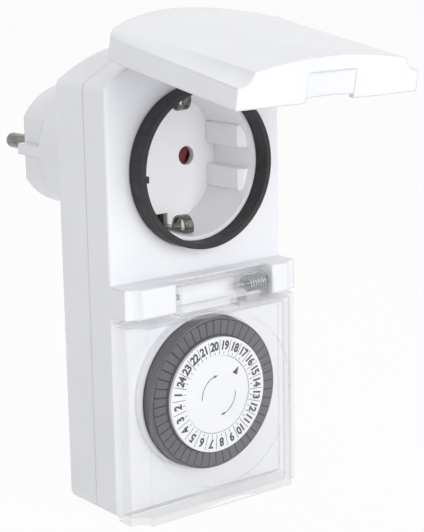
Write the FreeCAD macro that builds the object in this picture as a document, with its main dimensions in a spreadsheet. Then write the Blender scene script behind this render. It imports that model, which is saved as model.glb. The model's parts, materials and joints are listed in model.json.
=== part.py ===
import FreeCAD, Part
import math
import os
import re

# Plug in timer switch with an earthed socket under a hinged lid and a 24 hour dial under a clear cover.
# Millimetres. The plug's axis is the Y axis and its end face is the plane Y = 0; the pins point along +Y
# into the wall, the socket and the dial face -Y, and +Z is up. X is to the right for someone who looks
# at the dial. Depths below are distances forward of the plug's end face, so a depth d lies at Y = -d.

SIZES = {
    # Casing
    "half_width": 30.1, "arch_radius": 52, "arch_top": 33.6, "case_bottom": 97, "wall": 2,
    "back_depth": 40.3, "parting_depth": 54.2, "front_depth": 64.7, "edge_round": 1.2, "gap": 0.3,
    "corner_round": 2.6, "front_round": 0.8,
    # Plug
    "plug_radius": 18.4, "plug_wall": 3.4, "plug_end": 3, "flat_half": 15.85, "flat_length": 11.6,
    "rib_half": 1.65, "pin_spacing": 19, "pin_radius": 2.4, "pin_length": 19, "pin_collar": 3.4,
    "root_step": 0.3,
    # Socket
    "cup_inner": 19.9, "cup_outer": 21, "socket_floor": 47.5, "floor_thick": 2, "hole_radius": 2.75,
    "block_inner": 16.8, "block_low": 3.1, "block_high": 9.5, "block_depth": 61.7,
    "seal_outer": 22.8, "seal_proud": 5.4, "seal_seat": 1.2,
    "clip_width": 2.6, "clip_thick": 0.6, "clip_seat": 19.5, "clip_reach": 14.8, "clip_start": 54.4,
    "clip_end": 61.2, "shutter_thick": 1.2,
    "tube_outer": 3.4, "tube_end": 24, "bar_thick": 0.8,
    # Ears that carry the clear cover, and the cover
    "ledge_drop": 30, "ear_bottom": 38.5, "ear_depth": 73.3, "ear_gap": 1.3,
    "ear_left": 14.4, "ear_right": 19.9,
    "cover_depth": 74.9, "cover_wall": 1.5, "cove_radius": 4.4, "cove_inset": 0.5, "cove_centre": 75.45,
    "cover_axis_depth": 70.7, "cover_axis_drop": 34.6, "barrel_radius": 4.15, "cover_pin": 0.8,
    "relief_half": 11, "web_place": 10.3, "web_thick": 1.4, "lens_radius": 25.2, "lens_drop": 65.9,
    "spring_radius": 2.2, "spring_wire": 0.22, "spring_turns": 7, "spring_pitch": 0.88, "spring_leg": 1.5,
    # Dial
    "dial_drop": 64.6, "dial_radius": 21.9, "dial_rim": 0.45, "dial_back": 65.4, "dial_floor": 1.6,
    "dial_front": 71.2, "tab_inner": 17.2, "tab_count": 48, "tab_gap": 0.35,
    "boss_radius": 16.9, "scale_radius": 16.7, "scale_front": 72.7, "scale_thick": 0.9,
    "disc_radius": 11.3, "disc_front": 72.5, "post_radius": 2, "hub_radius": 5,
    "plinth_inner": 22.2, "plinth_outer": 23, "plinth_rise": 2.4,
    # Gears
    "module_size": 0.4, "dial_teeth": 90, "pinion_teeth": 10, "wheel_teeth": 50, "train_angle": 240,
    "gear_depth": 59.4, "gear_thick": 2.2, "wheel_depth": 52.5, "wheel_thick": 1.4, "arbor_radius": 0.8,
    "plate_depth": 50.7, "plate_thick": 1.2, "motor_radius": 12, "motor_gap": 0.3,
    # Lid
    "lid_axis_depth": 61.55, "lid_axis_height": 28.8, "lid_open": 80.3, "lid_length": 58.3,
    "lid_pin": 1.2, "lid_barrel": 2.6, "lug_inner": 6, "lug_outer": 12, "lid_side": 5.9,
    "lid_shoulder": 9.5, "lid_crown": 11.9, "lid_back_side": 6.4, "lid_back_shoulder": 8.3,
    "lid_back_crown": 10.7, "lid_wall": 1.6, "lid_top_gap": 0.3,
    # Screws
    "screw_radius": 1.45, "screw_head": 2.8, "screw_x": 25, "screw_high": 17, "screw_low": 90,
    "boss_outer": 3.6,
}

doc = FreeCAD.newDocument("TimerSwitch")
sheet = doc.addObject("Spreadsheet::Sheet", "Sizes")
for row, (alias, value) in enumerate(SIZES.items(), 1):
    sheet.set(f"A{row}", alias)
    sheet.set(f"B{row}", str(value))
    sheet.setAlias(f"B{row}", alias)
doc.recompute()

WORDS = re.compile(r"\b(" + "|".join(sorted(SIZES, key=len, reverse=True)) + r")\b")
PIECES = []
X_AXIS = FreeCAD.Vector(1, 0, 0)
Y_AXIS = FreeCAD.Vector(0, 1, 0)
ALONG = {"x": FreeCAD.Rotation(Y_AXIS, 90), "y": FreeCAD.Rotation(X_AXIS, -90), "z": FreeCAD.Rotation()}


def size(name):
    """A driving dimension, read from the sheet."""
    return float(sheet.get(name))


def bind(item, prop, text):
    """Tie a property to a formula of the sheet's names."""
    item.setExpression(prop, WORDS.sub(r"Sizes.\1", str(text)))


def place(item, x, y, z):
    for axis, text in (("x", x), ("y", y), ("z", z)):
        bind(item, f"Placement.Base.{axis}", text)


def box(name, x, y, z):
    """A block between two formulas on each axis."""
    item = doc.addObject("Part::Box", name)
    place(item, x[0], y[0], z[0])
    for prop, (low, high) in (("Length", x), ("Width", y), ("Height", z)):
        bind(item, prop, f"({high}) - ({low})")
    return item


def block(name, x, depth, z):
    """A block whose place along Y is given by its near and far depth."""
    return box(name, x, (f"-({depth[1]})", f"-({depth[0]})"), z)


def rod(name, radius, span, axis="y", across=("0", "0")):
    """A cylinder from span[0] to span[1] along an axis, at the other two coordinates in across."""
    item = doc.addObject("Part::Cylinder", name)
    item.Placement.Rotation = ALONG[axis]
    spot = list(across)
    spot.insert("xyz".index(axis), span[0])
    place(item, *spot)
    bind(item, "Radius", radius)
    bind(item, "Height", f"({span[1]}) - ({span[0]})")
    return item


def disc(name, radius, depth, x="0", z="0"):
    """A cylinder along Y between two depths."""
    return rod(name, radius, (f"-({depth[1]})", f"-({depth[0]})"), "y", (x, z))


def fuse(name, *items):
    item = doc.addObject("Part::MultiFuse", name)
    item.Shapes = list(items)
    item.Refine = True
    return item


def cut(name, base, *tools):
    item = doc.addObject("Part::Cut", name)
    item.Base = base
    item.Tool = tools[0] if len(tools) == 1 else fuse(name + "_tools", *tools)
    item.Refine = True
    return item


def common(name, base, tool):
    item = doc.addObject("Part::Common", name)
    item.Base = base
    item.Tool = tool
    item.Refine = True
    return item


def rounded(name, base, radius, choose):
    """Round the edges of base that choose(edge) picks."""
    doc.recompute()
    item = doc.addObject("Part::Fillet", name)
    item.Base = base
    picked = [number for number, edge in enumerate(base.Shape.Edges, 1) if choose(edge)]
    item.Edges = [(number, radius, radius) for number in picked]
    return item


def made(name, shape):
    """A shape that the sketches and primitives don't offer."""
    item = doc.addObject("Part::Feature", name)
    item.Shape = shape
    return item


def piece(label, item):
    item.Label = label
    PIECES.append((label, item))
    return item


def outline(points, y_low, y_high):
    """Extrude a closed outline of (x, z) points along Y."""
    corners = [FreeCAD.Vector(x, y_low, z) for x, z in points]
    face = Part.Face(Part.makePolygon(corners + corners[:1]))
    return face.extrude(FreeCAD.Vector(0, y_high - y_low, 0))


def arch_block(name, inset, near, far):
    """The casing's outline, straight sides under an arched top, drawn in by inset, between two depths."""
    side = f"half_width - ({inset})"
    tall = block(name + "_sides", (f"-({side})", side), (near, far), (f"-case_bottom + ({inset})", "0"))
    top = block(name + "_top", (f"-({side})", side), (near, far), ("0", "arch_top"))
    arch = disc(name + "_arch", f"arch_radius - ({inset})", (near, far), "0", "arch_top - arch_radius")
    return fuse(name, tall, common(name + "_head", top, arch))


def softened(name, shell, face, radius):
    """Round the corners of the casing's outline, then the rim of its back or front face."""
    side = size("half_width")
    shell = rounded(name + "_corners", shell, size("corner_round"), lambda edge: abs(
        abs(edge.BoundBox.Center.x) - side) < 0.01 and edge.BoundBox.YLength > 1)
    return rounded(name + "_rim", shell, radius, lambda edge: abs(edge.BoundBox.Center.y - face) < 0.01
                   and edge.BoundBox.YLength < 0.01)


# Casing

screw_spots = [(sx, z) for sx in ("-screw_x", "screw_x") for z in ("screw_high", "-screw_low")]


def plug_body():
    """The round plug with its side flats and guide ribs."""
    outer = disc("plug_outer", "plug_radius", ("0", "back_depth + wall / 2"))
    tools = []
    for side, (low, high) in {"left": ("-plug_radius - 1", "-flat_half"),
                              "right": ("flat_half", "plug_radius + 1")}.items():
        flat = block(f"plug_flat_{side}", (low, high), ("-1", "flat_length"), ("-plug_radius", "plug_radius"))
        rib = block(f"plug_rib_{side}", (low, high), ("-2", "flat_length + 1"), ("-rib_half", "rib_half"))
        tools.append(cut(f"plug_side_{side}", flat, rib))
    for name, sign in (("top", ""), ("bottom", "-")):
        seat = ("plug_radius - 1", "plug_radius + 1") if not sign else ("-plug_radius - 1", "1 - plug_radius")
        tools.append(block(f"strip_seat_{name}", ("-3.2", "3.2"), ("4.5", "33.2"), seat))
        slot = ("12.8", "plug_radius") if not sign else ("-plug_radius", "-12.8")
        tools.append(block(f"strip_slot_{name}", ("-3.2", "3.2"), ("32", "33.2"), slot))
    return cut("plug_shell", outer, *tools)


def rear_casing():
    shell = arch_block("rear_outer", "0", "back_depth", "parting_depth")
    shell = softened("rear", shell, -size("back_depth"), size("edge_round"))
    hollow = arch_block("rear_hollow", "wall", "back_depth + wall", "parting_depth + 1")
    bosses = [disc(f"rear_boss_{n}", "boss_outer", ("back_depth + wall", "parting_depth"), x, z)
              for n, (x, z) in enumerate(screw_spots)]
    body = fuse("rear_body", cut("rear_shell", shell, hollow), plug_body(), *bosses)
    tools = [disc("plug_hollow", "plug_radius - plug_wall", ("plug_end", "back_depth + wall + 1"))]
    tools += [disc(f"pin_hole_{name}", "pin_radius - root_step", ("-1", "plug_end + 1"), x)
              for name, x in (("left", "-pin_spacing / 2"), ("right", "pin_spacing / 2"))]
    for n, (x, z) in enumerate(screw_spots):
        tools.append(disc(f"screw_way_{n}", "screw_radius + 0.2", ("back_depth - 1", "parting_depth + 1"), x, z))
        tools.append(disc(f"head_way_{n}", "screw_head + 0.3", ("back_depth - 1", "back_depth + 2.4"), x, z))
    return piece("rear_casing", cut("rear_cut", body, *tools))


def front_casing():
    shell = arch_block("front_outer", "0", "parting_depth", "front_depth")
    shell = softened("front", shell, -size("front_depth"), size("front_round"))
    hollow = arch_block("front_hollow", "wall", "parting_depth - 1", "front_depth - wall")
    bosses = [disc(f"front_boss_{n}", "boss_outer", ("parting_depth", "front_depth - wall"), x, z)
              for n, (x, z) in enumerate(screw_spots)]
    ears = [ear("left", ("-half_width", "-ear_left")), ear("right", ("ear_right", "half_width"))]
    ledge = block("ledge", ("-ear_left", "ear_right"), ("front_depth", "cover_axis_depth - 1.5"),
                  ("-ear_bottom", "-ledge_drop"))
    sweep = rod("barrel_sweep", "barrel_radius + gap", ("-ear_left", "ear_right"), "x",
                ("-cover_axis_depth", "-cover_axis_drop"))
    under = block("ledge_under", ("-ear_left", "ear_right"), ("cover_axis_depth - 4", "cover_depth"),
                  ("-ear_bottom - 1", "-cover_axis_drop"))
    ledge = cut("ledge_cut", ledge, sweep, under)
    plinth = disc("plinth", "plinth_outer", ("front_depth - wall", "front_depth + plinth_rise"),
                  "0", "-dial_drop")
    plinth = cut("plinth_ring", plinth,
                 disc("plinth_way", "plinth_inner", ("front_depth", "front_depth + 9"), "0", "-dial_drop"))
    pocket_walls = block("pocket_walls", ("-lug_outer - 2.6", "lug_outer + 2.6"),
                         ("lid_axis_depth - 5.8", "front_depth"), ("23.2", "arch_top"))
    pocket_walls = common("pocket_block", pocket_walls,
                          disc("pocket_arch", "arch_radius", ("30", "90"), "0", "arch_top - arch_radius"))
    arbor_seat = disc("arbor_seat", "arbor_radius + 1.6", ("gear_depth + gear_thick + 0.3", "front_depth - 1"),
                      TRAIN_X, TRAIN_Z)
    body = fuse("front_body", cut("front_shell", shell, hollow), *bosses, *ears, ledge, plinth,
                pocket_walls, arbor_seat)
    tools = [disc("cup_way", "cup_outer + 0.05", ("parting_depth - 1", "front_depth + 1")),
             disc("seal_way", "seal_outer", ("front_depth - seal_seat", "front_depth + 1")),
             disc("hub_way", "hub_radius + 1.2", ("parting_depth", "front_depth + 1"), "0", "-dial_drop"),
             block("pocket", ("-lug_outer - 1.4", "lug_outer + 1.4"),
                   ("lid_axis_depth - 4.6", "front_depth + 1"), ("lid_axis_height - lid_barrel - 0.9", "40")),
             block("lid_relief", ("-lug_outer - 6.4", "lug_outer + 6.4"), ("front_depth - 2.6", "front_depth + 1"),
                   ("lid_axis_height + 0.5", "40")),
             rod("lid_pin_way", "lid_pin", ("-lug_outer - 2.2", "lug_outer + 2.2"), "x",
                 ("-lid_axis_depth", "lid_axis_height")),
             disc("arbor_way", "arbor_radius + 0.05", ("gear_depth", "front_depth - wall + 0.4"),
                  TRAIN_X, TRAIN_Z),
             rod("cover_pin_way", "cover_pin", ("-ear_left - 6.1", "ear_right + 6.1"), "x",
                 ("-cover_axis_depth", "-cover_axis_drop")),
             disc("nose_way", "1.8", ("parting_depth", "front_depth + 1"), "0", NOSE_Z)]
    groove = cut("tail_groove", disc("groove_out", "dial_radius", ("front_depth - 1.2", "front_depth + 1"),
                                     "0", "-dial_drop"),
                 disc("groove_in", "boss_radius", ("front_depth - 2", "front_depth + 2"), "0", "-dial_drop"))
    for n, (x, z) in enumerate(screw_spots):
        tools.append(disc(f"screw_thread_{n}", "screw_radius", ("parting_depth - 1", "front_depth - 3"), x, z))
    return piece("front_casing", cut("front_cut", body, groove, *tools))


def ear(name, x):
    """A hinge ear: flush with the casing's side, coved towards its front face."""
    body = block(f"ear_{name}", x, ("front_depth - 1", "ear_depth"), ("-ear_bottom", "-ledge_drop"))
    doc.recompute()
    front = -size("ear_depth")
    body = rounded(f"ear_{name}_round", body, 0.8,
                   lambda edge: abs(edge.BoundBox.Center.y - front) < 0.01 and edge.BoundBox.XLength > 1)
    sign = "-" if name == "left" else ""
    cove = rod(f"ear_cove_{name}", "cove_radius", ("-ear_bottom - 1", "-ledge_drop + 1"), "z",
               (f"{sign}(half_width - cove_inset)", "-cove_centre"))
    return cut(f"ear_{name}_cut", body, cove)


def case_screws():
    screws = []
    for n, (x, z) in enumerate(screw_spots):
        head = disc(f"screw_head_{n}", "screw_head", ("back_depth + 0.6", "back_depth + 2.4"), x, z)
        shank = disc(f"screw_shank_{n}", "screw_radius", ("back_depth + 2", "front_depth - 3.2"), x, z)
        slot = block(f"screw_slot_{n}", (f"{x} - 2", f"{x} + 2"), ("back_depth", "back_depth + 1.3"),
                     (f"{z} - 0.35", f"{z} + 0.35"))
        screws.append(cut(f"screw_{n}", fuse(f"screw_solid_{n}", head, shank), slot))
    return piece("case_screws", fuse("screw_group", *screws))


# Plug and its current path

def plug_pin(name, x):
    shank = disc(f"pin_{name}", "pin_radius", ("-pin_length", "0"), x)
    doc.recompute()
    tip = size("pin_length")
    shank = rounded(f"pin_{name}_tip", shank, size("pin_radius") * 0.8,
                    lambda edge: abs(edge.BoundBox.Center.y - tip) < 0.01 and edge.BoundBox.YLength < 0.01)
    root = disc(f"pin_root_{name}", "pin_radius - root_step", ("-1", "plug_end + 1"), x)
    collar = disc(f"pin_collar_{name}", "pin_collar", ("plug_end", "plug_end + 1.5"), x)
    tail = disc(f"pin_tail_{name}", "pin_radius - 0.4", ("plug_end + 1", "plug_end + 8"), x)
    return piece(f"plug_pin_{name}", fuse(f"pin_solid_{name}", shank, root, collar, tail))


def earth_contact(name, sign):
    """Spring strip on the plug's top or bottom, with a leg to the earth strap inside."""
    def band(part, depth, low, high):
        span = (low, high) if sign > 0 else (f"-({high})", f"-({low})")
        return block(f"plug_strip_{name}_{part}", ("-3", "3"), depth, span)
    outer = band("outer", ("5", "33"), "plug_radius - 0.9", "plug_radius - 0.1")
    leg = band("leg", ("32.2", "33"), "13", "plug_radius - 0.1")
    inner = band("inner", ("32.2", "back_depth + wall + 0.2"), "13", "13.8")
    return piece(f"plug_earth_contact_{name}", fuse(f"plug_strip_{name}", outer, leg, inner))


def receptacle(name, x):
    """Split tube that grips the pin of the plug that is put in, with a spring ring's groove."""
    near, far = "tube_end", "socket_floor - floor_thick - shutter_thick - 1.1"
    tube = disc(f"tube_{name}", "tube_outer", (near, far), x)
    bore = disc(f"tube_bore_{name}", "pin_radius + 0.05", (f"{near} + 2", f"{far} + 1"), x)
    slit = block(f"tube_slit_{name}", (f"{x} - 0.4", f"{x} + 0.4"), (f"{near} + 6", f"{far} + 1"),
                 ("-tube_outer - 1", "tube_outer + 1"))
    return piece(f"receptacle_{name}", cut(f"tube_cut_{name}", tube, bore, slit))


def contact_carrier():
    body = disc("carrier_disc", "plug_radius - plug_wall - 0.1", ("27", "31.5"))
    tools = [disc(f"carrier_hole_{name}", "tube_outer + 0.05", ("20", "40"), x)
             for name, x in (("left", "-pin_spacing / 2"), ("right", "pin_spacing / 2"))]
    tools.append(block("live_way", ("-4.8", "-2.9"), ("20", "40"), ("-11", "-8")))
    return piece("contact_carrier", cut("carrier_cut", body, *tools))


def current_bars():
    neutral = block("neutral_run", ("pin_spacing / 2 - 2", "pin_spacing / 2 + 2"), ("plug_end + 8", "tube_end"),
                    ("-bar_thick / 2", "bar_thick / 2"))
    neutral = fuse("neutral_solid", neutral,
                   disc("neutral_eye", "2.6", ("plug_end + 8", "plug_end + 9"), "pin_spacing / 2"))
    piece("neutral_bar", neutral)
    live = [block("live_tab", ("-pin_spacing / 2 - 2", "-3"), ("plug_end + 8", "plug_end + 8.8"), ("-2", "2")),
            block("live_drop", ("-4.6", "-3"), ("plug_end + 8", "plug_end + 8.8"), ("-10.5", "2")),
            block("live_run", ("-4.6", "-3"), ("plug_end + 8", "44.8"), ("-10.5", "-8.7")),
            block("live_fall", ("-4.6", "-3"), ("44", "44.8"), ("-32", "-8.7"))]
    piece("live_bar", fuse("live_solid", *live))
    switched = [block("switched_tab", ("-pin_spacing / 2 - 2", "-7"), ("tube_end - 0.8", "tube_end"), ("-2", "2")),
                block("switched_drop", ("-9", "-7"), ("tube_end - 0.8", "tube_end"), ("-12", "-2")),
                block("switched_run", ("-9", "-7"), ("tube_end - 0.8", "26.6"), ("-12", "-11"))]
    piece("switched_lead_tab", fuse("switched_solid", *switched))


def earth_strap():
    """Bar behind the socket's floor that joins the two clips and the plug's earth strips."""
    return piece("earth_strap", block("strap_run", ("-2.5", "2.5"), ("back_depth + wall + 0.2", "back_depth + wall + 1"),
                                      ("-clip_seat", "clip_seat")))


# Socket

def socket_insert():
    """The recess: cup, floor with two contact holes, and two guide blocks on each side."""
    cup = disc("cup", "cup_outer", ("socket_floor - floor_thick", "front_depth + 0.6"))
    hollow = disc("cup_hollow", "cup_inner", ("socket_floor", "front_depth + 1"))
    blocks = []
    for side in ("left", "right"):
        for level in ("upper", "lower"):
            x = ("block_inner", "cup_inner + 0.4") if side == "right" else ("-cup_inner - 0.4", "-block_inner")
            z = ("block_low", "block_high") if level == "upper" else ("-block_high", "-block_low")
            raw = block(f"guide_{side}_{level}", x, ("socket_floor - 0.5", "front_depth - 1.4"), z)
            doc.recompute()
            inner = size("block_inner")
            raw = rounded(f"guide_{side}_{level}_soft", raw, 0.5, lambda edge: abs(
                abs(edge.BoundBox.Center.x) - inner) < 0.01 and edge.BoundBox.YLength > 1)
            slope = made(f"guide_slope_{side}_{level}", guide_slope(side))
            blocks.append(cut(f"guide_{side}_{level}_cut", raw, slope))
    ring = disc("guide_limit", "cup_outer - 0.2", ("socket_floor - 1", "front_depth"))
    guides = common("guides", fuse("guide_group", *blocks), ring)
    body = fuse("socket_body", cut("cup_shell", cup, hollow), guides)
    tools = [disc(f"contact_hole_{name}", "hole_radius", ("socket_floor - 5", "socket_floor + 1"), x)
             for name, x in (("left", "-pin_spacing / 2"), ("right", "pin_spacing / 2"))]
    for name, z in (("top", ("16", "clip_seat + 0.3")), ("bottom", ("-clip_seat - 0.3", "-16"))):
        tools.append(block(f"clip_slot_{name}", ("-3.4", "2.2"),
                           ("socket_floor - 5", "socket_floor + 1"), z))
    return piece("socket_insert", cut("socket_cut", body, *tools))


def guide_slope(side):
    """Wedge that bevels the front of a guide block back towards the cup's wall."""
    sign = 1 if side == "right" else -1
    inner, start, front = size("block_inner"), size("block_depth"), size("front_depth")
    points = [(inner - 0.5, start - 0.3), (inner + 2.6, front), (inner - 0.5, front + 1)]
    corners = [FreeCAD.Vector(sign * x, -y, -12) for x, y in points]
    face = Part.Face(Part.makePolygon(corners + corners[:1]))
    return face.extrude(FreeCAD.Vector(0, 0, 24))


def seal_ring():
    """Rubber collar that the closed lid presses on."""
    outer = disc("seal_body", "seal_outer", ("front_depth - seal_seat", "front_depth + seal_proud"))
    doc.recompute()
    face = -(size("front_depth") + size("seal_proud"))
    outer = rounded("seal_soft", outer, 0.35, lambda edge: abs(edge.BoundBox.Center.y - face) < 0.01
                    and edge.BoundBox.YLength < 0.01)
    bore = disc("seal_bore", "cup_outer + 0.05", ("front_depth - 3", "front_depth + 9"))
    nub = block("seal_nub", ("-cup_outer - 0.5", "-cup_outer + 1"),
                ("front_depth + seal_proud - 1.4", "front_depth + seal_proud - 0.2"), ("-2", "-0.2"))
    return piece("seal_ring", fuse("seal_solid", cut("seal_cut", outer, bore), nub))


def earth_clip(name, sign):
    """Bent strip: a flat run along the cup's wall, then a loop that presses on the plug's earth strip."""
    half, thick = size("clip_width") / 2, size("clip_thick")
    seat, reach = size("clip_seat"), size("clip_reach")
    start, end, root = size("clip_start"), size("clip_end"), size("back_depth") + size("wall") + 1
    middle = (start + end) / 2

    def at(depth, height):
        return FreeCAD.Vector(-half, -depth, sign * height)

    outer = Part.Arc(at(start, seat - thick), at(middle, reach), at(end, seat - thick)).toShape()
    run = Part.makePolygon([at(end, seat - thick), at(end, seat), at(root, seat), at(root, seat - thick),
                            at(start, seat - thick)])
    wire = Part.Wire([outer] + run.Edges)
    solid = Part.Face(wire).extrude(FreeCAD.Vector(2 * half, 0, 0))
    inner_arc = Part.Arc(at(start + 1.1, seat - thick), at(middle, reach + thick), at(end - 1.1, seat - thick))
    lens = Part.Face(Part.Wire([inner_arc.toShape(),
                                Part.makeLine(at(end - 1.1, seat - thick), at(start + 1.1, seat - thick))]))
    eye = lens.extrude(FreeCAD.Vector(2 * half, 0, 0))
    return piece(f"earth_clip_{name}", made(f"clip_{name}", solid.cut(eye)))


def shutter():
    """Sliding plate that closes both contact holes from behind."""
    near = -(size("socket_floor") - size("floor_thick") - 0.15)
    thick, half = size("shutter_thick"), size("pin_spacing") / 2
    right = [(half - 3.5, -3), (half + 0.6, -3), (half + 3, 3), (half - 3.5, 3)]
    left = [(x - size("pin_spacing"), z) for x, z in right]
    bridge = [(-half - 3.5, -5.4), (half + 0.6, -5.4), (half + 0.6, -2.9), (-half - 3.5, -2.9)]
    plates = [outline(points, near, near + thick) for points in (left, right, bridge)]
    solid = plates[0].fuse(plates[1:]).removeSplitter()
    return piece("shutter", made("shutter_plate", solid))


# Lid, drawn closed and then swung up about its pin

LIP_BOW, BACK_BOW = -0.2, 0.62


def lid_wire(z, side, shoulder, crown, reach, bow, inset=0.0, rim=0.0):
    """A cross section of the lid at height z: side wall, cove (bow below 0) or round, crown, and back."""
    half, front = size("half_width") - inset, size("front_depth")
    top = half - reach

    def at(x, out):
        return FreeCAD.Vector(x, -(front + out), z)

    cove = (side + shoulder) / 2 + (shoulder - side) * bow
    dip = half - reach * 0.72
    edges = [Part.makeLine(at(-half, rim), at(-half, side)),
             Part.Arc(at(-half, side), at(-dip, cove), at(-top, shoulder)).toShape(),
             Part.Arc(at(-top, shoulder), at(0, crown), at(top, shoulder)).toShape(),
             Part.Arc(at(top, shoulder), at(dip, cove), at(half, side)).toShape(),
             Part.makeLine(at(half, side), at(half, rim)),
             Part.makeLine(at(half, rim), at(-half, rim))]
    return Part.Wire(edges)


def lid_solid():
    height, bottom = size("arch_top"), size("lid_axis_height") - size("lid_length")
    wall, rim = size("lid_wall"), size("gap")
    outer = Part.makeLoft([
        lid_wire(bottom, size("lid_side"), size("lid_shoulder"), size("lid_crown"), 5.0, LIP_BOW, 0, rim),
        lid_wire(height, size("lid_back_side"), size("lid_back_shoulder"), size("lid_back_crown"), 2.4, BACK_BOW, 0, rim),
    ], True, True)
    inner = Part.makeLoft([
        lid_wire(bottom + wall, size("lid_side") - wall, size("lid_shoulder") - wall,
                 size("lid_crown") - wall, 5.0, LIP_BOW, wall, -1),
        lid_wire(height, size("lid_back_side") - wall, size("lid_back_shoulder") - wall,
                 size("lid_back_crown") - wall, 2.4, BACK_BOW, wall, -1),
    ], True, True)
    arch = size("arch_radius")
    centre = FreeCAD.Vector(0, -100, height - arch)
    keep = Part.makeCylinder(arch - size("lid_top_gap"), 60, centre, Y_AXIS)
    hollow = Part.makeCylinder(arch - size("lid_top_gap") - wall, 60, centre, Y_AXIS)
    keep = keep.fuse(Part.makeBox(80, 60, 60, FreeCAD.Vector(-40, -100, bottom - 20)))
    hollow = hollow.fuse(Part.makeBox(80, 60, 60, FreeCAD.Vector(-40, -100, bottom - 20)))
    return outer.common(keep).cut(inner.common(hollow))


def lid_tools():
    """Finger scoop in the lip and the notch under it."""
    front, bottom = size("front_depth"), size("lid_axis_height") - size("lid_length")
    scoop = Part.makeCylinder(30, 6.8, FreeCAD.Vector(0, -(front + 7.9), bottom - 28.8), Y_AXIS)
    scoop = scoop.common(Part.makeBox(16, 20, 4, FreeCAD.Vector(-8, -(front + 9), bottom - 2)))
    notch = Part.makeBox(16, 1.4, 5, FreeCAD.Vector(-8, -(front + 1.4), bottom - 2))
    return scoop.fuse(notch)


def socket_lid():
    depth, height = size("lid_axis_depth"), size("lid_axis_height")
    solid = lid_solid().cut(lid_tools())
    barrel = size("lid_barrel")
    for sign in (-1, 1):
        start = sign * size("lug_inner") if sign > 0 else -size("lug_outer")
        width = size("lug_outer") - size("lug_inner")
        knuckle = Part.makeCylinder(barrel, width, FreeCAD.Vector(start, -depth, height), X_AXIS)
        arm = Part.makeBox(width, size("front_depth") + 7.6 - depth, 2 * barrel - 1.2,
                           FreeCAD.Vector(start, -(size("front_depth") + 7.6), height - barrel + 0.6))
        solid = solid.fuse([knuckle, arm])
    eye = Part.makeCylinder(size("lid_pin") + 0.05, 60, FreeCAD.Vector(-30, -depth, height), X_AXIS)
    lid = made("lid_body", solid.cut(eye).removeSplitter())
    axis_point = FreeCAD.Vector(0, -depth, height)
    lid.Placement = FreeCAD.Placement(FreeCAD.Vector(), FreeCAD.Rotation(X_AXIS, -size("lid_open")), axis_point)
    return piece("socket_lid", lid)


def lid_hinge_pin():
    return piece("lid_hinge_pin", rod("lid_rod", "lid_pin", ("-lug_outer - 2.1", "lug_outer + 2.1"), "x",
                                      ("-lid_axis_depth", "lid_axis_height")))


# Clear cover

def cover_block(name, inset, low, near, far):
    """The cover's outline seen from above: flush sides, coved front corners."""
    side = f"half_width - ({inset})"
    body = block(name, (f"-({side})", side), (near, far), (low, f"-ear_bottom - ear_gap - ({inset})"))
    coves = [rod(f"{name}_cove_{n}", f"cove_radius + ({inset})", (f"{low} - 1", "0"), "z",
                 (f"{sign}(half_width - cove_inset)", "-cove_centre")) for n, sign in enumerate(("-", ""))]
    return cut(f"{name}_coved", body, *coves)


def dial_cover():
    outer = cover_block("cover_outer", "0", "-case_bottom", "front_depth + gap", "cover_depth")
    inner = cover_block("cover_inner", "cover_wall", "-case_bottom + cover_wall", "front_depth - 1",
                        "cover_depth - cover_wall")
    x = ("-ear_left + 0.4", "ear_right - 0.4")
    barrel = rod("barrel", "barrel_radius", x, "x", ("-cover_axis_depth", "-cover_axis_drop"))
    bridge = block("tongue", x, ("cover_axis_depth", "cover_depth - 0.05"),
                   ("-ear_bottom - ear_gap - cover_wall", "-cover_axis_drop"))
    room = rod("barrel_room", "barrel_radius - cover_wall + 0.3", x, "x",
               ("-cover_axis_depth", "-cover_axis_drop"))
    back = block("barrel_back", x, ("front_depth - 1", "cover_axis_depth + 0.4"), ("-45", "-cover_axis_drop + 2.2"))
    front_room = block("tongue_room", x, ("cover_axis_depth - 1", "cover_depth - cover_wall"),
                       ("-ear_bottom - 4", "-cover_axis_drop"))
    tongue = cut("tongue_shell", fuse("tongue_solid", barrel, bridge), room, back, front_room)
    webs = []
    spans = (("-ear_left + 0.4", "-ear_left + 2"), ("web_place", "web_place + web_thick"),
             ("ear_right - 1.3", "ear_right - 0.4"))
    for n, span in enumerate(spans):
        cheek = rod(f"web_round_{n}", "barrel_radius - 0.6", span, "x", ("-cover_axis_depth", "-cover_axis_drop"))
        foot = block(f"web_foot_{n}", span, ("cover_axis_depth - 1.6", "cover_depth - 0.4"),
                     ("-ear_bottom - ear_gap - 0.8", "-cover_axis_drop"))
        webs.append(fuse(f"web_{n}", cheek, foot))
    pin_way = rod("hinge_way", "cover_pin + 0.06", ("-half_width", "half_width"), "x",
                  ("-cover_axis_depth", "-cover_axis_drop"))
    scoop = rod("nail_scoop", "45", ("-cover_depth + 0.8", "-front_depth"), "y", ("3.2", "-case_bottom - 43.9"))
    line = ("cover_depth - 0.25", "cover_depth + 1")
    groove = cut("lens_groove", disc("lens_out", "lens_radius", line, "0", "-lens_drop"),
                 disc("lens_in", "lens_radius - 0.3", line, "0", "-lens_drop"))
    relief = block("cover_relief", ("-relief_half", "relief_half"), ("front_depth", "cover_axis_depth - 1.2"),
                   ("-ear_bottom - ear_gap - cover_wall - 0.1", "-ear_bottom - ear_gap + 0.1"))
    body = fuse("cover_body", cut("cover_shell", outer, inner), tongue, *webs)
    return piece("dial_cover", cut("cover_cut", body, pin_way, scoop, groove, relief))


def cover_pins():
    across = ("-cover_axis_depth", "-cover_axis_drop")
    piece("cover_pin_left", rod("pin_rod_left", "cover_pin", ("-ear_left - 6", "-ear_left + 2.6"), "x", across))
    piece("cover_pin_right", rod("pin_rod_right", "cover_pin", ("web_place - 1", "ear_right + 6"), "x", across))


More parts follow.
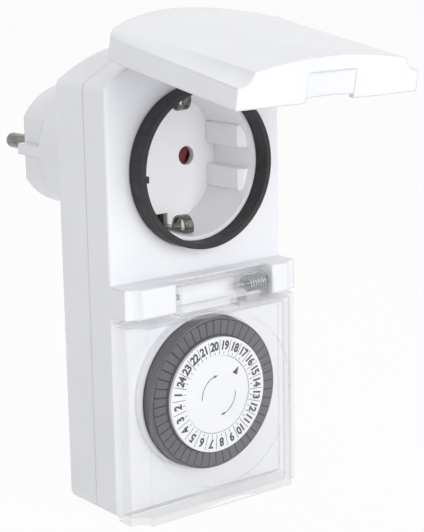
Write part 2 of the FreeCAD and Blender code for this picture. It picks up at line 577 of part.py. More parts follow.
def biarc(start, start_way, end, end_way):
    """Two arcs that join two points along given directions."""
    chord, both = end - start, start_way + end_way
    spread = 2 * (1 - start_way.dot(end_way))
    reach = (-chord.dot(both) + math.sqrt(chord.dot(both) ** 2 + spread * chord.dot(chord))) / spread
    near, far = start + start_way * reach, end - end_way * reach
    joint = (near + far) * 0.5
    edges = []
    for first, corner, last in ((start, near, joint), (joint, far, end)):
        middle = (first + last) * 0.5
        bow = corner - middle
        half = (last - first).Length / 2
        turn = math.atan2(bow.Length, half)
        edges.append(Part.Arc(first, middle + bow.normalize() * (half * math.tan(turn / 2)), last).toShape())
    return edges


def cover_spring():
    """Torsion spring round the right hinge pin, with a leg on the cover and a leg on the casing."""
    radius, wire, turns = size("spring_radius"), size("spring_wire"), int(size("spring_turns"))
    pitch, x0 = size("spring_pitch"), size("web_place") + size("web_thick") + 0.35
    centre = FreeCAD.Vector(x0, -size("cover_axis_depth"), -size("cover_axis_drop"))

    def at(angle):
        return centre + FreeCAD.Vector(pitch * angle / (2 * math.pi), radius * math.cos(angle),
                                       radius * math.sin(angle))

    def way(angle):
        return FreeCAD.Vector(pitch / (2 * math.pi), -radius * math.sin(angle),
                              radius * math.cos(angle)).normalize()

    quarter = math.pi / 2
    edges = []
    for step in range(4 * turns):
        first, last = step * quarter, (step + 1) * quarter
        edges += biarc(at(first), way(first), at(last), way(last))
    last = 4 * turns * quarter
    leg = size("spring_leg")
    edges.insert(0, Part.makeLine(at(0) - way(0) * leg, at(0)))
    edges.append(Part.makeLine(at(last), at(last) + way(last) * leg))
    path = Part.Wire(edges)
    start = at(0) - way(0) * leg
    ring = Part.Wire([Part.Circle(start, way(0), wire).toShape()])
    pipe = Part.BRepOffsetAPI.MakePipeShell(path)
    pipe.add(ring)
    pipe.build()
    pipe.makeSolid()
    points = [at(2 * math.pi * n / 72) for n in range(72 * turns + 1)]
    least = min((points[i] - points[j]).Length for i in range(0, len(points), 6)
                for j in range(i + 36, min(i + 108, len(points))))
    print("spring: least gap between its turns", round(least - 2 * wire, 3))
    print("spring: length", round(path.Length, 2), "volume over section",
          round(pipe.shape().Volume / (math.pi * wire ** 2), 2))
    return piece("cover_spring", made("spring_wire_form", pipe.shape()))


# Dial

def tab_outline(inner, outer, gap):
    """Corners of a tab seen from the front, pointing up from the dial's axis."""
    half = math.pi / size("tab_count")
    corners = []
    for radius, sign in ((inner, -1), (outer, -1), (outer, 1), (inner, 1)):
        corners.append((sign * (radius * math.tan(half) - gap / 2), radius))
    return corners


def tab(number, inner, outer, gap, near, far):
    """One tab of the dial, as a solid between two depths."""
    solid = outline(tab_outline(inner, outer, gap), -far, -near)
    solid.rotate(FreeCAD.Vector(), Y_AXIS, (number + 0.5) * 360 / size("tab_count"))
    solid.translate(FreeCAD.Vector(0, 0, -size("dial_drop")))
    return solid


LOOSE_TABS = {"tab_time_on": 39, "tab_time_off": 45, "tab_spare_left": 33, "tab_spare_right": 3}


def dial_ring():
    back, front, rim = size("dial_back"), size("dial_front"), size("dial_rim")
    at = ("0", "-dial_drop")
    plate = disc("dial_plate", "dial_radius", ("dial_back", "dial_front - 0.2"), *at)
    trough = cut("dial_trough", disc("trough_out", "dial_radius - dial_rim",
                                     ("dial_back + dial_floor", "dial_front + 1"), *at),
                 disc("trough_in", "boss_radius", ("dial_back", "dial_front + 2"), *at))
    boss = disc("dial_boss", "boss_radius", ("dial_back", "scale_front - scale_thick"), *at)
    well = disc("dial_well", "disc_radius + 0.3", ("disc_front - 1.7", "dial_front + 5"), *at)
    bore = disc("dial_bore", "hub_radius + 0.05", ("dial_back - 1", "disc_front - 2.6"), *at)
    bore_small = disc("dial_bore_small", "post_radius + 0.6", ("dial_back - 1", "dial_front + 5"), *at)
    slots = [tab(n, size("tab_inner") - 0.1, size("dial_radius") - rim - 0.05, size("tab_gap") - 0.16,
                 back - 1, back + size("dial_floor") + 1) for n in range(int(size("tab_count")))]
    slot_group = made("dial_slots", Part.makeCompound(slots))
    body = fuse("dial_body", cut("dial_dish", plate, trough), boss)
    return piece("dial_ring", cut("dial_cut", body, slot_group, well, bore, bore_small))


def dial_tabs():
    """Tabs that the user pushes in to set the switching times."""
    inner, outer = size("tab_inner"), size("dial_radius") - size("dial_rim") - 0.2
    near, far = size("dial_back") + 0.1, size("dial_front")
    by_name = {number: name for name, number in LOOSE_TABS.items()}
    fixed = []
    for number in range(int(size("tab_count"))):
        solid = tab(number, inner, outer, size("tab_gap"), near, far)
        if number in by_name:
            piece(by_name[number], made(by_name[number] + "_form", solid))
        else:
            fixed.append(solid)
    return piece("switching_tabs", made("tab_group", Part.makeCompound(fixed)))


def dial_faces():
    at = ("0", "-dial_drop")
    ring = cut("scale_ring", disc("scale_plate", "scale_radius", ("scale_front - scale_thick", "scale_front"), *at),
               disc("scale_bore", "disc_radius + 0.1", ("60", "80"), *at))
    piece("scale_ring", ring)
    face = disc("centre_face", "disc_radius", ("disc_front - 1.3", "disc_front"), *at)
    doc.recompute()
    front = -size("disc_front")
    face = rounded("centre_soft", face, 0.3, lambda edge: abs(edge.BoundBox.Center.y - front) < 0.01
                   and edge.BoundBox.YLength < 0.01)
    piece("centre_disc", face)
    piece("dial_post", disc("post", "post_radius", ("plate_depth + 0.01", "disc_front - 1.3"), *at))


# Gear train

TRAIN_X = "module_size * (dial_teeth + pinion_teeth) / 2 * cos(train_angle * 1deg)"
TRAIN_Z = "-dial_drop + module_size * (dial_teeth + pinion_teeth) / 2 * sin(train_angle * 1deg)"
MOTOR_X = TRAIN_X + " + module_size * (wheel_teeth + pinion_teeth) / 2"
MOTOR_BACK = "back_depth + wall + motor_gap"
NOSE_Z = "-dial_drop + (tab_inner + dial_radius) / 2"
LEAVES = {"moving": ("56.4", "56.8"), "fixed": ("58.6", "59")}


def toothed(teeth, near, thick, turn=0.0):
    """A spur gear about the Y axis with straight sided teeth, its first tooth turned by turn degrees."""
    pitch = size("module_size") * teeth / 2
    tip, root = pitch + 0.8 * size("module_size"), pitch - 1.15 * size("module_size")
    step = 2 * math.pi / teeth
    profile = ((root, -0.34), (pitch, -0.225), (tip, -0.12), (tip, 0.12), (pitch, 0.225), (root, 0.34))
    points = []
    for number in range(teeth):
        middle = number * step + math.radians(turn)
        for radius, share in profile:
            angle = middle + share * step
            points.append((radius * math.cos(angle), radius * math.sin(angle)))
    return outline(points, -(near + thick), -near)


def train_spot():
    reach = size("module_size") * (size("dial_teeth") + size("pinion_teeth")) / 2
    angle = math.radians(size("train_angle"))
    return reach * math.cos(angle), -size("dial_drop") + reach * math.sin(angle)


def dial_gear():
    near, thick, drop = size("gear_depth"), size("gear_thick"), size("dial_drop")
    wheel = toothed(int(size("dial_teeth")), near, thick, size("train_angle"))
    hub = Part.makeCylinder(size("hub_radius"), size("disc_front") - 2.6 - near,
                            FreeCAD.Vector(0, -(size("disc_front") - 2.6), 0), Y_AXIS)
    bore = Part.makeCylinder(size("post_radius") + 0.06, 30, FreeCAD.Vector(0, -80, 0), Y_AXIS)
    solid = wheel.fuse(hub).cut(bore)
    solid.translate(FreeCAD.Vector(0, 0, -drop))
    return piece("dial_gear", made("dial_gear_form", solid))


def reduction_gear():
    """Wheel and pinion on one arbor, between the motor and the dial."""
    x, z = train_spot()
    teeth = int(size("pinion_teeth"))
    near = size("wheel_depth")
    wheel = toothed(int(size("wheel_teeth")), near, size("wheel_thick"), 0)
    long = size("gear_depth") + size("gear_thick") - near
    pinion = toothed(teeth, near, long, size("train_angle") + 180 + 180 / teeth)
    low, high = size("plate_depth") + 0.05, size("front_depth") - size("wall") + 0.2
    arbor = Part.makeCylinder(size("arbor_radius"), high - low, FreeCAD.Vector(0, -high, 0), Y_AXIS)
    solid = wheel.fuse([pinion, arbor])
    solid.translate(FreeCAD.Vector(x, 0, z))
    return piece("reduction_gear", made("reduction_form", solid))


def motor_rotor():
    x, z = train_spot()
    teeth = int(size("pinion_teeth"))
    x += size("module_size") * (size("wheel_teeth") + teeth) / 2
    near, thick = size("wheel_depth") - 0.2, size("wheel_thick") + 0.5
    pinion = toothed(teeth, near, thick, 180 + 180 / teeth)
    shaft = Part.makeCylinder(0.7, near - (size("back_depth") + size("wall") + size("motor_gap")) - 1.2, FreeCAD.Vector(0, -near, 0), Y_AXIS)
    magnet = Part.makeCylinder(5, 4, FreeCAD.Vector(0, -((size("back_depth") + size("wall") + size("motor_gap")) + 6), 0), Y_AXIS)
    solid = pinion.fuse([shaft, magnet])
    solid.translate(FreeCAD.Vector(x, 0, z))
    return piece("motor_rotor", made("rotor_form", solid))


def motor_parts():
    """Can of the synchronous motor, with its coil inside."""
    depth = (MOTOR_BACK, "plate_depth - 0.1")
    can = cut("can_shell", disc("can_out", "motor_radius", depth, MOTOR_X, TRAIN_Z),
              disc("can_room", "motor_radius - 0.8", (MOTOR_BACK + " + 0.8", "plate_depth - 0.9"), MOTOR_X, TRAIN_Z),
              disc("can_way", "0.8", ("plate_depth - 2", "plate_depth + 1"), MOTOR_X, TRAIN_Z))
    piece("motor_can", can)
    coil = cut("coil_ring", disc("coil_out", "motor_radius - 1", (MOTOR_BACK + " + 1", "plate_depth - 1.1"),
                                 MOTOR_X, TRAIN_Z),
               disc("coil_way", "5.4", (MOTOR_BACK, "plate_depth"), MOTOR_X, TRAIN_Z))
    piece("motor_coil", coil)


def gear_plate():
    """Plate behind the gears that carries the motor, the dial's post and the switch."""
    plate = block("plate", ("-half_width + wall + 0.4", "half_width - wall - 0.4"),
                  ("plate_depth", "plate_depth + plate_thick"), ("-case_bottom + wall + 0.4", "-24.5"))
    tools = [disc("plate_arbor_way", "arbor_radius + 0.05", ("plate_depth - 1", "plate_depth + 3"), TRAIN_X, TRAIN_Z),
             disc("plate_rotor_way", "0.8", ("plate_depth - 1", "plate_depth + 3"), MOTOR_X, TRAIN_Z),
             disc("plate_post_way", "post_radius", ("plate_depth - 1", "plate_depth + 3"), "0", "-dial_drop")]
    for n, (x, z) in enumerate(screw_spots):
        tools.append(disc(f"plate_boss_way_{n}", "boss_outer + 0.2", ("plate_depth - 1", "plate_depth + 3"), x, z))
    tower = block("switch_block", ("10", "20"), ("plate_depth", "60.4"), ("-35", "-27"))
    tools += [block(f"leaf_seat_{name}", ("9", "16"), depth, ("-34", "-31")) for name, depth in LEAVES.items()]
    posts = [block(f"lever_post_{n}", x, ("plate_depth", "60.6"), ("-40.6", "-37"))
             for n, x in enumerate((("-5.4", "-3.8"), ("3.8", "5.4")))]
    lever_way = rod("lever_pin_way", "0.6", ("-8", "8"), "x", ("-59", "-38.8"))
    return piece("gear_plate", cut("plate_cut", fuse("plate_body", plate, tower, *posts), lever_way, *tools))


# Switch

def switch_parts():
    across = ("-59", "-38.8")
    piece("lever_pin", rod("lever_rod", "0.6", ("-5.3", "5.3"), "x", across))
    hub = rod("lever_hub", "1.5", ("-3.5", "3.5"), "x", across)
    arm = block("lever_arm", ("-1.2", "1.2"), ("58.3", "59.7"), (NOSE_Z + " - 0.9", "-38.8"))
    nose = block("lever_nose", ("-0.7", "0.7"), ("58.3", "front_depth - 0.3"), (NOSE_Z + " - 0.7", NOSE_Z + " + 0.7"))
    heel = block("lever_heel", ("-1.2", "3.5"), ("57", "59.6"), ("-38.8", "-31.6"))
    body = fuse("lever_body", hub, arm, nose, heel)
    piece("switch_lever", cut("lever_cut", body, rod("lever_eye", "0.65", ("-9", "9"), "x", across)))
    leaf = block("leaf_moving", ("-1", "16"), LEAVES["moving"], ("-34", "-31"))
    piece("moving_contact", fuse("moving_solid", leaf, disc("stud_moving", "1", ("56.6", "57.3"), "7", "-32.5")))
    leaf = block("leaf_fixed", ("5.4", "16"), LEAVES["fixed"], ("-34", "-31"))
    piece("fixed_contact", fuse("fixed_solid", leaf, disc("stud_fixed", "1", ("58", "58.8"), "7", "-32.5")))


def build():
    rear_casing()
    front_casing()
    case_screws()
    for name, x in (("left", "-pin_spacing / 2"), ("right", "pin_spacing / 2")):
        plug_pin(name, x)
        receptacle(name, x)
    for name, sign in (("top", 1), ("bottom", -1)):
        earth_contact(name, sign)
        earth_clip(name, sign)
    contact_carrier()
    current_bars()
    earth_strap()
    socket_insert()
    seal_ring()
    shutter()
    socket_lid()
    lid_hinge_pin()
    dial_cover()
    cover_pins()
    cover_spring()
    dial_ring()
    dial_tabs()
    dial_faces()
    dial_gear()
    reduction_gear()
    motor_rotor()
    motor_parts()
    gear_plate()
    switch_parts()


build()
doc.recompute()
faults = [item.Name for item in doc.Objects if "Invalid" in item.State or "Error" in item.State]
for label, item in PIECES:
    if item.Shape.isNull() or not item.Shape.isValid() or item.Shape.Volume <= 0:
        faults.append(label)
if faults:
    raise RuntimeError("not built: " + ", ".join(faults))
os.makedirs("parts", exist_ok=True)
for label, item in PIECES:
    item.Shape.exportStep(f"parts/{label}.step")
    print(f"{label}: {len(item.Shape.Solids)} solids, {item.Shape.Volume:.1f} mm3")
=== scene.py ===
import bpy
import json
import math
from mathutils import Matrix, Vector


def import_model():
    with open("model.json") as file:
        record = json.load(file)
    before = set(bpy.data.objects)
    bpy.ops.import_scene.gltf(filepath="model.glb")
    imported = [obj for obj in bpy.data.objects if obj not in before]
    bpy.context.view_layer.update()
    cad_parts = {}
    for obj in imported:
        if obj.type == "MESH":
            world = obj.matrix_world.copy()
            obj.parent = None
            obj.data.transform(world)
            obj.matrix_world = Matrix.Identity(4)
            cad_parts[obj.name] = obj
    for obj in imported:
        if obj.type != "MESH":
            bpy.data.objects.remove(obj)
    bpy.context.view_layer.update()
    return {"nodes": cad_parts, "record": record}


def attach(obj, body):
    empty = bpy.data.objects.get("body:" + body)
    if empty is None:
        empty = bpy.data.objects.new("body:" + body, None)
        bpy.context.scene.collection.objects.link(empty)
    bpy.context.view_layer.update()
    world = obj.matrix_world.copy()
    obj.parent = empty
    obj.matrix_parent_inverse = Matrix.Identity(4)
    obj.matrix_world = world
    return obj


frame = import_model()
MM = 0.001

# Camera, solved from the photograph's perspective
YAW, PITCH, ROLL = math.radians(37.987), math.radians(12.573), math.radians(-1.019)
PLACE = Vector((-0.26152, -0.40636, 0.06743))
FOCAL_PX, FRAME_W, FRAME_H = 1563.33, 424, 532
CENTRE_PX = (213.2, 265.5)

# Dial print, in millimetres from the dial's axis
DIAL_Z, SCALE_Y, DISC_Y = -64.6, -72.7, -72.5
FIRST_HOUR_ANGLE, HOUR_ANGLE, NUMBER_RADIUS, NUMBER_HEIGHT = 154.0, 15, 14.3, 2.55
LINE_SPAN, TICK_SPAN = (11.65, 16.1), (11.75, 12.55)
PRINT_LIFT = 0.02

# Haze of the clear cover seen straight on and at a grazing angle, and the facing values between which it grows
CLEAR_HAZE = (0.03, 0.72)
HAZE_FACING = (0.15, 0.9)

# Edges with a larger angle than this stay sharp
SHARP_ANGLE = math.radians(28)

# Floor, in metres
FLOOR_REACH, FLOOR_LEVEL = 4.0, -0.0972


def linear(code):
    """Scene colour of an sRGB hex code."""
    channels = [int(code[i:i + 2], 16) / 255 for i in (1, 3, 5)]
    return [c / 12.92 if c <= 0.04045 else ((c + 0.055) / 1.055) ** 2.4 for c in channels] + [1.0]


# Materials

def new_material(name):
    mat = bpy.data.materials.new(name)
    mat.use_nodes = True
    nodes, links = mat.node_tree.nodes, mat.node_tree.links
    return mat, nodes, links, nodes["Principled BSDF"]


def noise(nodes, links, scale, detail=3.0, stretch=(1, 1, 1)):
    """Noise over the object's own coordinates, so that it stays with the piece."""
    coords = nodes.new("ShaderNodeTexCoord")
    mapping = nodes.new("ShaderNodeMapping")
    mapping.inputs["Scale"].default_value = stretch
    texture = nodes.new("ShaderNodeTexNoise")
    texture.inputs["Scale"].default_value = scale
    texture.inputs["Detail"].default_value = detail
    links.new(coords.outputs["Object"], mapping.inputs["Vector"])
    links.new(mapping.outputs["Vector"], texture.inputs["Vector"])
    return texture.outputs["Fac"]


def spread(nodes, links, value, low, high):
    """Map noise to a range of a shader value."""
    remap = nodes.new("ShaderNodeMapRange")
    remap.inputs["From Min"].default_value = 0.3
    remap.inputs["From Max"].default_value = 0.7
    remap.inputs["To Min"].default_value = low
    remap.inputs["To Max"].default_value = high
    links.new(value, remap.inputs["Value"])
    return remap.outputs["Result"]


def greatest(nodes, links, *values):
    """The largest of several shader values."""
    result = values[0]
    for value in values[1:]:
        pair = nodes.new("ShaderNodeMath")
        pair.operation = "MAXIMUM"
        links.new(result, pair.inputs[0])
        links.new(value, pair.inputs[1])
        result = pair.outputs[0]
    return result


def seen_directly(nodes, links):
    """1 for the camera's own rays, in reflections and through clear material, otherwise 0."""
    path = nodes.new("ShaderNodeLightPath").outputs
    return greatest(nodes, links, path["Is Camera Ray"], path["Is Glossy Ray"], path["Is Transmission Ray"])


def mixed(nodes, links, share, first, second):
    """First shader where share is 0, second where it is 1."""
    mix = nodes.new("ShaderNodeMixShader")
    links.new(share, mix.inputs["Fac"])
    links.new(first, mix.inputs[1])
    links.new(second, mix.inputs[2])
    return mix.outputs["Shader"]


def soft_edges(nodes, links, shader, radius, grain, strength):
    """Rounded corners and a fine surface grain."""
    bevel = nodes.new("ShaderNodeBevel")
    bevel.samples = 6
    bevel.inputs["Radius"].default_value = radius * MM
    bump = nodes.new("ShaderNodeBump")
    bump.inputs["Strength"].default_value = strength
    bump.inputs["Distance"].default_value = 0.05 * MM
    links.new(grain, bump.inputs["Height"])
    links.new(bevel.outputs["Normal"], bump.inputs["Normal"])
    links.new(bump.outputs["Normal"], shader.inputs["Normal"])


def tinted(nodes, links, value, first, second):
    mix = nodes.new("ShaderNodeMix")
    mix.data_type = "RGBA"
    mix.inputs["A"].default_value = linear(first)
    mix.inputs["B"].default_value = linear(second)
    links.new(value, mix.inputs["Factor"])
    return mix.outputs["Result"]


def plastic(name, colours, roughness, edge=0.35, grain=1400, strength=0.12, coat=0.0, glow=0.0):
    mat, nodes, links, shader = new_material(name)
    shade = spread(nodes, links, noise(nodes, links, 45, 2), 0, 1)
    links.new(tinted(nodes, links, shade, *colours), shader.inputs["Base Color"])
    links.new(spread(nodes, links, noise(nodes, links, 320, 4), *roughness), shader.inputs["Roughness"])
    shader.inputs["IOR"].default_value = 1.49
    shader.inputs["Coat Weight"].default_value = coat
    if glow:
        shader.inputs["Subsurface Weight"].default_value = glow
        shader.inputs["Subsurface Radius"].default_value = (1, 0.95, 0.9)
        shader.inputs["Subsurface Scale"].default_value = 1.2 * MM
    soft_edges(nodes, links, shader, edge, noise(nodes, links, grain, 2), strength)
    return mat


def metal(name, colours, roughness, edge=0.2, stretch=(1, 1, 1), grain=900, strength=0.2):
    mat, nodes, links, shader = new_material(name)
    # Stretched noise tone: surface grain, and in the nickel its dark and light streaks are painted reflection
    grain_and_painted_streaks = noise(nodes, links, grain, 3, stretch)
    links.new(tinted(nodes, links, spread(nodes, links, grain_and_painted_streaks, 0, 1), *colours), shader.inputs["Base Color"])
    shader.inputs["Metallic"].default_value = 1.0
    wear = noise(nodes, links, 260, 4, stretch)
    links.new(spread(nodes, links, wear, *roughness), shader.inputs["Roughness"])
    soft_edges(nodes, links, shader, edge, grain_and_painted_streaks, strength)
    return mat


def clear_plastic(name):
    """Thin clear plastic: the view passes straight, with a slight haze that grows towards its edges."""
    mat, nodes, links, shader = new_material(name)
    haze = spread(nodes, links, noise(nodes, links, 60, 2), 0, 1)
    links.new(tinted(nodes, links, haze, "#D8D9DD", "#E2E3E6"), shader.inputs["Base Color"])
    links.new(spread(nodes, links, noise(nodes, links, 120, 3), 0.08, 0.14), shader.inputs["Roughness"])
    shader.inputs["IOR"].default_value = 1.49
    soft_edges(nodes, links, shader, 0.35, noise(nodes, links, 160, 2), 0.04)
    facing = nodes.new("ShaderNodeLayerWeight")
    facing.inputs["Blend"].default_value = 0.35
    growth = nodes.new("ShaderNodeMapRange")
    growth.inputs["From Min"].default_value, growth.inputs["From Max"].default_value = HAZE_FACING
    growth.inputs["To Min"].default_value, growth.inputs["To Max"].default_value = CLEAR_HAZE
    straight = nodes.new("ShaderNodeBsdfTransparent")
    straight.inputs["Color"].default_value = (1, 1, 1, 1)
    path = nodes.new("ShaderNodeLightPath").outputs
    seen = nodes.new("ShaderNodeMath")
    seen.operation = "SUBTRACT"
    seen.inputs[0].default_value = 1
    share = nodes.new("ShaderNodeMath")
    share.operation = "MULTIPLY"
    links.new(facing.outputs["Facing"], growth.inputs["Value"])
    links.new(greatest(nodes, links, path["Is Shadow Ray"], path["Is Diffuse Ray"]), seen.inputs[1])
    links.new(growth.outputs["Result"], share.inputs[0])
    links.new(seen.outputs[0], share.inputs[1])
    surface = mixed(nodes, links, share.outputs[0], straight.outputs["BSDF"], shader.outputs["BSDF"])
    links.new(surface, nodes["Material Output"].inputs["Surface"])
    return mat


MATERIALS = {
    "casing": plastic("casing_white", ("#EBECF0", "#EFF0F4"), (0.30, 0.38), 0.8, 1500, 0.05, 0.15, 0.15),
    # Socket white brighter than the casing white: painted light that lifts the shade the lid casts into the
    # recess
    "insert": plastic("socket_white_painted_light", ("#F9F9FC", "#FBFBFE"), (0.30, 0.38), 0.4, 1500, 0.0, 0.1, 0.15),
    "clear": clear_plastic("clear_cover"),
    "rubber": plastic("seal_black", ("#202022", "#2A2A2C"), (0.50, 0.68), 0.3, 2600, 0.35),
    # Nickel colours far darker than the bare metal, streaked along the pin: painted reflection of a dark
    # surround
    "nickel": metal("nickel_plate_painted_reflection", ("#524F4B", "#918E89"), (0.08, 0.22), 0.25, (1, 0.12, 1)),
    "steel": metal("zinc_steel", ("#B4B6BA", "#C6C8CB"), (0.24, 0.38), 0.15),
    "brass": metal("pressed_brass", ("#C09A50", "#D0AC62"), (0.25, 0.40), 0.15),
    "shutter": plastic("shutter_red", ("#66141A", "#741A20"), (0.35, 0.5), 0.3, 1800, 0.15),
    "dial": plastic("dial_grey", ("#414144", "#48484B"), (0.45, 0.56), 0.12, 2400, 0.25),
    "tab": plastic("tab_grey", ("#4A4A4D", "#525255"), (0.40, 0.52), 0.14, 2400, 0.25),
    "scale": plastic("scale_white", ("#EDEEF0", "#F1F2F4"), (0.32, 0.42), 0.15, 1500, 0.06),
    "inner": plastic("natural_plastic", ("#DAD6C6", "#E2DFD0"), (0.35, 0.5), 0.2, 1600, 0.15),
    "copper": metal("copper_winding", ("#B0592F", "#C76E40"), (0.3, 0.45), 0.1, (1, 12, 1)),
    "ink": plastic("print_grey", ("#28282B", "#303034"), (0.45, 0.6), 0.02, 3000, 0.05),
}
SLOT_MATERIALS = {"casing_plastic": "casing", "clear_plastic": "clear", "seal_rubber": "rubber",
                  "plated_metal": "nickel", "steel": "steel", "brass": "brass", "shutter_plastic": "shutter",
                  "dial_grey": "tab", "scale_white": "scale", "inner_plastic": "inner", "copper": "copper"}
NODE_MATERIALS = {"socket_insert": "insert", "dial_ring": "dial"}


def smooth_group():
    """Modifier that shades smooth except over sharp angles."""
    group = bpy.data.node_groups.new("smooth_by_angle", "GeometryNodeTree")
    group.interface.new_socket("Geometry", in_out="INPUT", socket_type="NodeSocketGeometry")
    group.interface.new_socket("Geometry", in_out="OUTPUT", socket_type="NodeSocketGeometry")
    nodes, links = group.nodes, group.links
    source, sink = nodes.new("NodeGroupInput"), nodes.new("NodeGroupOutput")
    weld = nodes.new("GeometryNodeMergeByDistance")
    weld.inputs["Distance"].default_value = 0.002 * MM
    faces = nodes.new("GeometryNodeSetShadeSmooth")
    edges = nodes.new("GeometryNodeSetShadeSmooth")
    edges.domain = "EDGE"
    edges.inputs["Shade Smooth"].default_value = False
    angle = nodes.new("GeometryNodeInputMeshEdgeAngle")
    sharp = nodes.new("FunctionNodeCompare")
    sharp.data_type = "FLOAT"
    sharp.operation = "GREATER_THAN"
    sharp.inputs["B"].default_value = SHARP_ANGLE
    links.new(source.outputs[0], weld.inputs["Geometry"])
    links.new(weld.outputs["Geometry"], faces.inputs["Geometry"])
    links.new(faces.outputs["Geometry"], edges.inputs["Geometry"])
    links.new(angle.outputs["Unsigned Angle"], sharp.inputs["A"])
    links.new(sharp.outputs["Result"], edges.inputs["Selection"])
    links.new(edges.outputs["Geometry"], sink.inputs[0])
    return group


SMOOTH = smooth_group()


def dress(node, obj, slot):
    """Give a CAD node its material and smooth shading."""
    for name in ("custom_normal", "sharp_face", "sharp_edge"):
        if name in obj.data.attributes:
            obj.data.attributes.remove(obj.data.attributes[name])
    modifier = obj.modifiers.new("smooth", "NODES")
    modifier.node_group = SMOOTH
    mat = MATERIALS[NODE_MATERIALS.get(node, SLOT_MATERIALS[slot])]
    obj.data.materials.clear()
    obj.data.materials.append(mat)


for part in frame["record"]["subparts"]:
    dress(part["node"], frame["nodes"][part["node"]], part["material_slot"])


# Print on the dial

def dial_point(radius, degrees, depth):
    """Point at a depth in front of the dial, from polar coordinates about its axis."""
    angle = math.radians(degrees)
    return Vector((radius * math.cos(angle) * MM, depth * MM, (DIAL_Z + radius * math.sin(angle)) * MM))


def mesh_piece(name, corners, faces, body, material):
    """A new piece that rides on a CAD body."""
    mesh = bpy.data.meshes.new(name)
    mesh.from_pydata([tuple(c) for c in corners], [], faces)
    mesh.materials.append(MATERIALS[material])
    mesh.validate()
    obj = bpy.data.objects.new(name, mesh)
    bpy.context.scene.collection.objects.link(obj)
    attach(obj, body)
    return obj


def add_face(corners, faces, points):
    """A thin printed face that faces the viewer."""
    faces.append(tuple(range(len(corners), len(corners) + len(points))))
    corners += points


def radial_line(corners, faces, degrees, span, width, depth):
    low, high = (dial_point(radius, degrees, depth) for radius in span)
    side = Vector((-math.sin(math.radians(degrees)), 0, math.cos(math.radians(degrees)))) * width / 2 * MM
    add_face(corners, faces, [low + side, high + side, high - side, low - side])


def scale_lines():
    """The 24 hour lines of the scale and the short marks between them."""
    corners, faces = [], []
    depth = SCALE_Y - PRINT_LIFT
    for hour in range(24):
        middle = FIRST_HOUR_ANGLE + HOUR_ANGLE * hour
        radial_line(corners, faces, middle + HOUR_ANGLE / 2, LINE_SPAN, 0.17, depth)
        radial_line(corners, faces, middle, TICK_SPAN, 0.2, depth)
    return mesh_piece("scale_lines", corners, faces, "dial", "ink")


def number_mesh(text):
    curve = bpy.data.curves.new("number", "FONT")
    curve.body = text
    curve.size = NUMBER_HEIGHT * MM / 0.72
    curve.align_x, curve.align_y = "CENTER", "CENTER"
    curve.offset = 0.15 * MM
    curve.space_character = 0.92
    curve.resolution_u = 3
    holder = bpy.data.objects.new("number", curve)
    bpy.context.scene.collection.objects.link(holder)
    bpy.context.view_layer.update()
    shown = holder.evaluated_get(bpy.context.evaluated_depsgraph_get())
    mesh = bpy.data.meshes.new_from_object(shown)
    bpy.data.objects.remove(holder)
    bpy.data.curves.remove(curve)
    return mesh


def scale_numbers():
    """The numbers 1 to 24, with their tops outward."""
    corners, faces = [], []
    squeeze = Matrix.Diagonal((0.86, 1, 1, 1))
    for hour in range(24):
        degrees = FIRST_HOUR_ANGLE + HOUR_ANGLE * hour
        mesh = number_mesh(str(hour or 24))
        height = [v.co.y for v in mesh.vertices]
        middle = (min(height) + max(height)) / 2
        turn = Matrix.Rotation(math.radians(90), 4, "X")
        spin = Matrix.Rotation(-math.radians(degrees - 90), 4, "Y")
        spot = Matrix.Translation(dial_point(NUMBER_RADIUS, degrees, SCALE_Y - PRINT_LIFT))
        place = spot @ spin @ turn @ squeeze @ Matrix.Translation((0, -middle, 0))
        start = len(corners)
        corners += [place @ v.co for v in mesh.vertices]
        faces += [tuple(start + i for i in p.vertices) for p in mesh.polygons]
        bpy.data.meshes.remove(mesh)
    return mesh_piece("scale_numbers", corners, faces, "dial", "ink")


def arrow(corners, faces, centre, radius, first, last, width, depth):
    """A curved arrow that turns clockwise from first to last, in degrees."""
    def at(r, degrees):
        angle = math.radians(degrees)
        return Vector(((centre[0] + r * math.cos(angle)) * MM, depth * MM,
                       (DIAL_Z + centre[1] + r * math.sin(angle)) * MM))
    steps = 24
    for step in range(steps):
        a = first + (last - first) * step / steps
        b = first + (last - first) * (step + 1) / steps
        add_face(corners, faces, [at(radius - width / 2, a), at(radius + width / 2, a),
                                  at(radius + width / 2, b), at(radius - width / 2, b)])
    add_face(corners, faces, [at(radius + 0.42, last), at(radius, last - 15), at(radius - 0.42, last)])


def disc_print():
    """The pointer and the two turning arrows on the fixed disc."""
    corners, faces = [], []
    depth = DISC_Y - PRINT_LIFT
    centre = (0.45, -0.35)
    arrow(corners, faces, centre, 5.95, 184, 106, 0.24, depth)
    arrow(corners, faces, centre, 5.95, 2, -71, 0.24, depth)
    pointer = [(7.75, 6.95), (7.05, 4.45), (5.45, 5.45)]
    add_face(corners, faces, [Vector((x * MM, depth * MM, (DIAL_Z + z) * MM)) for x, z in pointer])
    return mesh_piece("disc_print", corners, faces, "casing", "ink")


scale_lines()
scale_numbers()
disc_print()


# Floor, light and camera

def stage_material(name, colour, white):
    """White to the camera and in reflections, with the object's shadow kept."""
    mat, nodes, links, shader = new_material(name)
    shader.inputs["Base Color"].default_value = linear(colour)
    shader.inputs["Roughness"].default_value = 0.9
    glow = nodes.new("ShaderNodeEmission")
    glow.inputs["Strength"].default_value = 1.0
    share = nodes.new("ShaderNodeMath")
    share.operation = "MULTIPLY"
    share.inputs[1].default_value = white
    links.new(seen_directly(nodes, links), share.inputs[0])
    surface = mixed(nodes, links, share.outputs[0], shader.outputs["BSDF"], glow.outputs["Emission"])
    links.new(surface, nodes["Material Output"].inputs["Surface"])
    return mat


def floor():
    mesh = bpy.data.meshes.new("floor")
    corners = [(x * FLOOR_REACH, y * FLOOR_REACH, FLOOR_LEVEL) for x, y in ((-1, -1), (1, -1), (1, 1), (-1, 1))]
    mesh.from_pydata(corners, [], [(0, 1, 2, 3)])
    mesh.materials.append(stage_material("floor_white", "#F4F4F5", 0.93))
    obj = bpy.data.objects.new("floor", mesh)
    bpy.context.scene.collection.objects.link(obj)


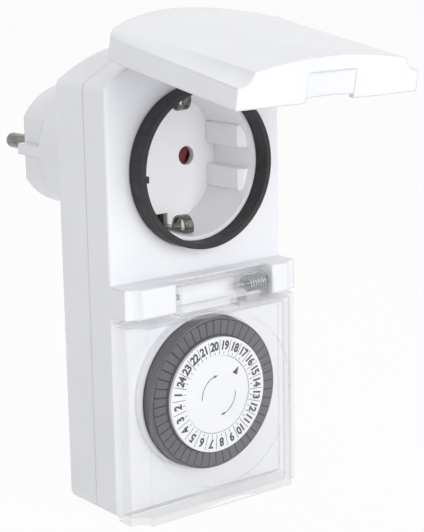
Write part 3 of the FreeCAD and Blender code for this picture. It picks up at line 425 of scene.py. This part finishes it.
def lamp(name, spot, aim, width, height, power):
    light = bpy.data.lights.new(name, "AREA")
    light.shape, light.size, light.size_y, light.energy = "RECTANGLE", width, height, power
    obj = bpy.data.objects.new(name, light)
    obj.location = spot
    obj.rotation_euler = (Vector(aim) - Vector(spot)).to_track_quat("-Z", "Y").to_euler()
    bpy.context.scene.collection.objects.link(obj)


def world(strength):
    """White where it is seen, and weaker as a light."""
    scene_world = bpy.data.worlds.new("studio")
    bpy.context.scene.world = scene_world
    scene_world.use_nodes = True
    nodes, links = scene_world.node_tree.nodes, scene_world.node_tree.links
    back = nodes["Background"]
    back.inputs["Color"].default_value = (1, 1, 1, 1)
    back.inputs["Strength"].default_value = strength
    seen = nodes.new("ShaderNodeBackground")
    seen.inputs["Color"].default_value = (1, 1, 1, 1)
    seen.inputs["Strength"].default_value = 1.0
    surface = mixed(nodes, links, seen_directly(nodes, links), back.outputs["Background"],
                    seen.outputs["Background"])
    links.new(surface, nodes["World Output"].inputs["Surface"])


def camera():
    data = bpy.data.cameras.new("camera")
    data.sensor_width = 36
    data.lens = FOCAL_PX * 36 / FRAME_H
    data.shift_x = (FRAME_W / 2 - CENTRE_PX[0]) / FRAME_H
    data.shift_y = (CENTRE_PX[1] - FRAME_H / 2) / FRAME_H
    data.clip_start, data.clip_end = 0.01, 50
    ahead = Vector((math.sin(YAW) * math.cos(PITCH), math.cos(YAW) * math.cos(PITCH), -math.sin(PITCH)))
    right = Vector((math.cos(YAW), -math.sin(YAW), 0))
    up = right.cross(ahead)
    level_right = math.cos(ROLL) * right + math.sin(ROLL) * up
    level_up = -math.sin(ROLL) * right + math.cos(ROLL) * up
    turn = Matrix((level_right, level_up, -ahead)).transposed().to_4x4()
    obj = bpy.data.objects.new("camera", data)
    obj.matrix_world = Matrix.Translation(PLACE) @ turn
    bpy.context.scene.collection.objects.link(obj)
    bpy.context.scene.camera = obj


floor()
world(0.53)
lamp("front_softbox", (0.05, -1.2, 0.30), (0, -0.05, -0.02), 0.9, 0.9, 7.4)
lamp("side_softbox", (-1.1, -0.25, 0.35), (0, -0.05, -0.02), 0.8, 0.9, 1.8)
lamp("top_softbox", (0.05, -0.15, 1.2), (0, -0.06, 0), 0.8, 0.8, 2.6)
camera()
bpy.context.scene.view_settings.view_transform = "Standard"
